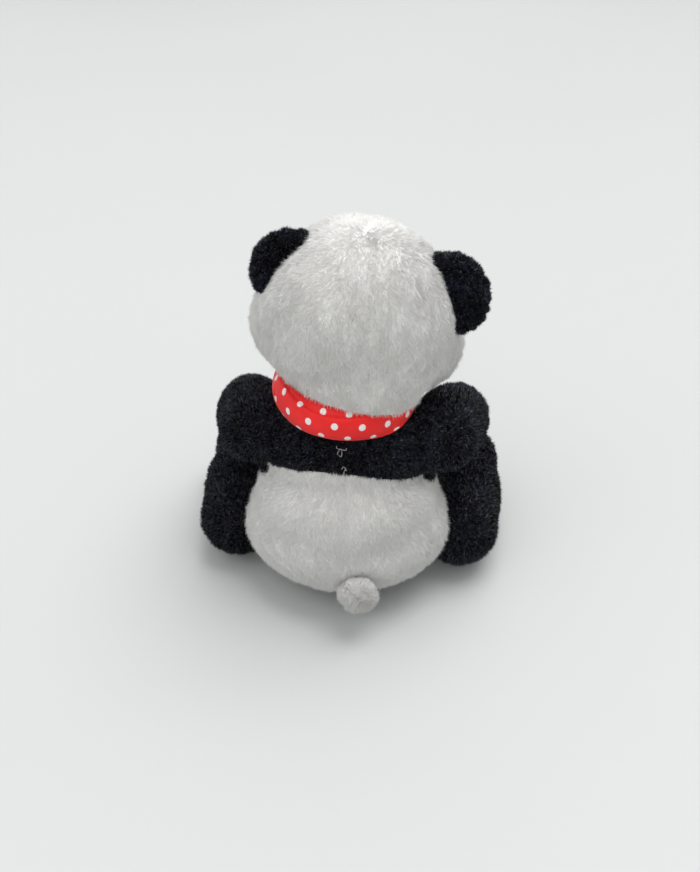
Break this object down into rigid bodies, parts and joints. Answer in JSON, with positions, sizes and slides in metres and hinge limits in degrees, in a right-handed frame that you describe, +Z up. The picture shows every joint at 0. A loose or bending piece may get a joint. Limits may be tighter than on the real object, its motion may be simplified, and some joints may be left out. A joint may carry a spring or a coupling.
{
  "type": "plush keychain",
  "caption": "Seated plush panda charm with a dotted neck scarf, soft jointed limbs and a short chain with a split key ring.",
  "frame": {"origin": "middle of the seat's flat bottom, on the surface it sits on", "axes": "+Z up, the face looks along -Y, +X is the panda's own left"},
  "size_m": [0.096, 0.0841, 0.1112],
  "materials": {
    "white_plush": "matte",
    "black_plush": "matte",
    "stuffing": "matte",
    "clear_thread": "satin",
    "scarf_cotton": "satin",
    "nose_plastic": "satin",
    "black_thread": "satin",
    "eye_plastic": "gloss",
    "washer_plastic": "matte",
    "black_ribbon": "satin",
    "plated_steel": "polished",
    "ring_steel": "polished"
  },
  "bodies": {
    "torso": {"seat_skin": "white_plush", "yoke_skin": "black_plush", "torso_stuffing": "stuffing", "closing_stitches": "clear_thread", "scarf_band": "scarf_cotton", "scarf_knot": "scarf_cotton"},
    "neck": {"neck_collar": "black_plush"},
    "head": {"head_skin": "white_plush", "head_stuffing": "stuffing", "muzzle": "white_plush", "nose": "nose_plastic", "mouth_stitches": "black_thread", "eye_patch_left": "black_plush", "eye_patch_right": "black_plush", "eye_left": "eye_plastic", "eye_right": "eye_plastic", "eye_washer_left": "washer_plastic", "eye_washer_right": "washer_plastic"},
    "ear_left": {"ear_left": "black_plush"},
    "ear_right": {"ear_right": "black_plush"},
    "arm_left": {"arm_skin_left": "black_plush", "arm_stuffing_left": "stuffing"},
    "arm_right": {"arm_skin_right": "black_plush", "arm_stuffing_right": "stuffing"},
    "leg_left": {"leg_skin_left": "black_plush", "leg_stuffing_left": "stuffing"},
    "leg_right": {"leg_skin_right": "black_plush", "leg_stuffing_right": "stuffing"},
    "tail": {"tail": "white_plush"},
    "scarf_tail_left": {"scarf_tail_left": "scarf_cotton"},
    "scarf_tail_right": {"scarf_tail_right": "scarf_cotton"},
    "ribbon_loop": {"ribbon_loop": "black_ribbon"},
    "jump_ring": {"jump_ring": "plated_steel"},
    "chain_link_1": {"chain_link_1": "plated_steel"},
    "chain_link_2": {"chain_link_2": "plated_steel"},
    "chain_link_3": {"chain_link_3": "plated_steel"},
    "split_ring": {"split_ring": "ring_steel"}
  },
  "joints": [
    {"name": "neck_turn", "type": "hinge", "parent": "torso", "child": "neck", "pos_m": [-0.002, -0.002, 0.0825], "axis": [0, 0, 1], "range_deg": [-20, 20], "stiffness_Nm_per_rad": 0.04},
    {"name": "head_nod", "type": "hinge", "parent": "neck", "child": "head", "pos_m": [-0.002, -0.002, 0.0825], "axis": [-1, 0, 0], "range_deg": [-8, 12], "stiffness_Nm_per_rad": 0.04},
    {"name": "ear_left_flop", "type": "hinge", "parent": "head", "child": "ear_left", "pos_m": [0.01802, 0.00038, 0.09938], "axis": [0.5869, 0.3244, -0.7418], "range_deg": [-10, 10], "stiffness_Nm_per_rad": 0.0008},
    {"name": "ear_right_flop", "type": "hinge", "parent": "head", "child": "ear_right", "pos_m": [-0.02659, 0.00038, 0.09152], "axis": [-0.2978, 0.3244, -0.8978], "range_deg": [-10, 10], "stiffness_Nm_per_rad": 0.0008},
    {"name": "arm_left_lift", "type": "hinge", "parent": "torso", "child": "arm_left", "pos_m": [0.027, 0.005, 0.048], "axis": [-1, 0, 0], "range_deg": [-1, 25], "stiffness_Nm_per_rad": 0.04},
    {"name": "arm_right_lift", "type": "hinge", "parent": "torso", "child": "arm_right", "pos_m": [-0.027, 0.005, 0.048], "axis": [-1, 0, 0], "range_deg": [-1, 25], "stiffness_Nm_per_rad": 0.04},
    {"name": "leg_left_spread", "type": "hinge", "parent": "torso", "child": "leg_left", "pos_m": [0.034, 0.006, 0.0133], "axis": [0, 0, 1], "range_deg": [-4, 10], "stiffness_Nm_per_rad": 0.03},
    {"name": "leg_right_spread", "type": "hinge", "parent": "torso", "child": "leg_right", "pos_m": [-0.034, 0.006, 0.0133], "axis": [0, 0, -1], "range_deg": [-4, 10], "stiffness_Nm_per_rad": 0.03},
    {"name": "tail_wag", "type": "hinge", "parent": "torso", "child": "tail", "pos_m": [-0.005, 0.0342, 0.0128], "axis": [1, 0, 0], "range_deg": [-12, 12], "stiffness_Nm_per_rad": 0.0008},
    {"name": "scarf_tail_left_flap", "type": "hinge", "parent": "torso", "child": "scarf_tail_left", "pos_m": [0.006, -0.0245, 0.0534], "axis": [-1, 0, 0], "range_deg": [0, 35]},
    {"name": "scarf_tail_right_flap", "type": "hinge", "parent": "torso", "child": "scarf_tail_right", "pos_m": [-0.006, -0.0245, 0.0534], "axis": [-1, 0, 0], "range_deg": [0, 35]},
    {"name": "loop_swing", "type": "hinge", "parent": "torso", "child": "ribbon_loop", "pos_m": [0, -0.024, 0.0532], "axis": [-1, 0, 0], "range_deg": [0, 15]},
    {"name": "jump_ring_swing", "type": "hinge", "parent": "ribbon_loop", "child": "jump_ring", "pos_m": [0, -0.024, 0.04785], "axis": [-1, 0, 0], "range_deg": [-2, 15]},
    {"name": "link_1_swing", "type": "hinge", "parent": "jump_ring", "child": "chain_link_1", "pos_m": [0, -0.024, 0.03925], "axis": [-1, 0, 0], "range_deg": [-2, 20]},
    {"name": "link_2_rock", "type": "hinge", "parent": "chain_link_1", "child": "chain_link_2", "pos_m": [0, -0.024, 0.0349], "axis": [0, 1, 0], "range_deg": [-15, 15]},
    {"name": "link_3_swing", "type": "hinge", "parent": "chain_link_2", "child": "chain_link_3", "pos_m": [0, -0.024, 0.03055], "axis": [-1, 0, 0], "range_deg": [-2, 20]},
    {"name": "split_ring_rock", "type": "hinge", "parent": "chain_link_3", "child": "split_ring", "pos_m": [0, -0.024, 0.0262], "axis": [0, 1, 0], "range_deg": [-20, 20]}
  ]
}
